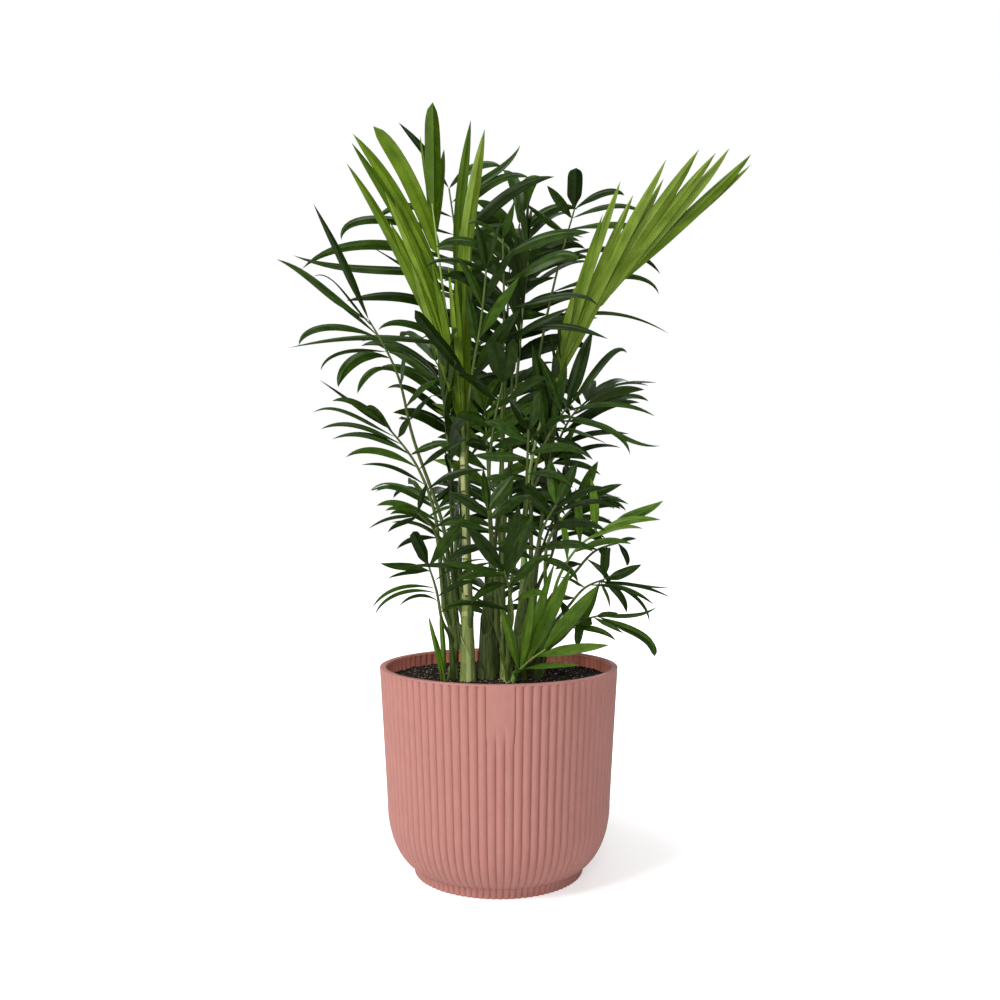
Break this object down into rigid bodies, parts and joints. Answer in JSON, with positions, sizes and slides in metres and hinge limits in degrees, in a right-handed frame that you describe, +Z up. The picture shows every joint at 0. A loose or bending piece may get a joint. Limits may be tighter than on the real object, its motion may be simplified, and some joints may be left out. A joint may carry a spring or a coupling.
{
  "type": "potted parlour palm",
  "caption": "Parlour palm with slender arching feathery fronds and upright young spears, growing as a clump of thin green canes in a round fluted pink pot.",
  "frame": {"origin": "centre of the pot's flat underside, on the surface that it stands on", "axes": "+Z up; the front, from which the plant is usually seen, is -Y; +X is to the right seen from the front"},
  "size_m": [0.3517, 0.3441, 0.6016],
  "materials": {
    "pot_plastic": "matte",
    "soil": "matte",
    "stem": "satin",
    "young_leaf": "satin",
    "fresh_leaf": "satin",
    "leaf": "satin"
  },
  "bodies": {
    "root": {"pot": "pot_plastic", "soil": "soil", "stem_cane": "stem", "stem_left": "stem", "stem_middle": "stem", "stem_slim": "stem", "stem_front": "stem", "stem_right": "stem", "stem_right_outer": "stem", "stem_back": "stem", "stem_back_left": "stem", "stem_back_right": "stem", "shoot_left": "stem", "frond_spear_left": "young_leaf", "frond_spear_centre": "young_leaf", "frond_spear_right": "young_leaf", "frond_tall_left": "leaf", "frond_tall_right": "leaf", "frond_front_left": "leaf", "frond_centre_front": "leaf", "frond_left": "leaf", "frond_left_low": "leaf", "frond_left_thin": "leaf", "frond_left_lowest": "leaf", "frond_right": "leaf", "frond_centre": "leaf", "frond_right_upper": "leaf", "frond_right_inner": "leaf", "frond_right_bright": "fresh_leaf", "frond_right_arching": "leaf", "frond_right_low": "leaf", "frond_right_lowest": "leaf", "frond_front_young": "fresh_leaf", "frond_front_low": "leaf", "frond_front_right": "leaf", "frond_front_high": "leaf", "frond_front_centre": "leaf", "frond_back_top": "leaf", "frond_back_high": "leaf", "frond_back_middle": "leaf", "frond_back_left_high": "leaf", "frond_back_right_high": "leaf", "frond_back_left_low": "leaf", "frond_back_low": "leaf", "frond_back_right_low": "leaf", "frond_back_lowest": "leaf", "frond_back_bright": "fresh_leaf", "frond_side_right_top": "leaf", "frond_side_right_high": "leaf", "frond_side_right_low": "leaf", "frond_side_left_high": "leaf", "frond_side_left_low": "leaf", "frond_side_left_lowest": "leaf"}
  },
  "joints": []
}
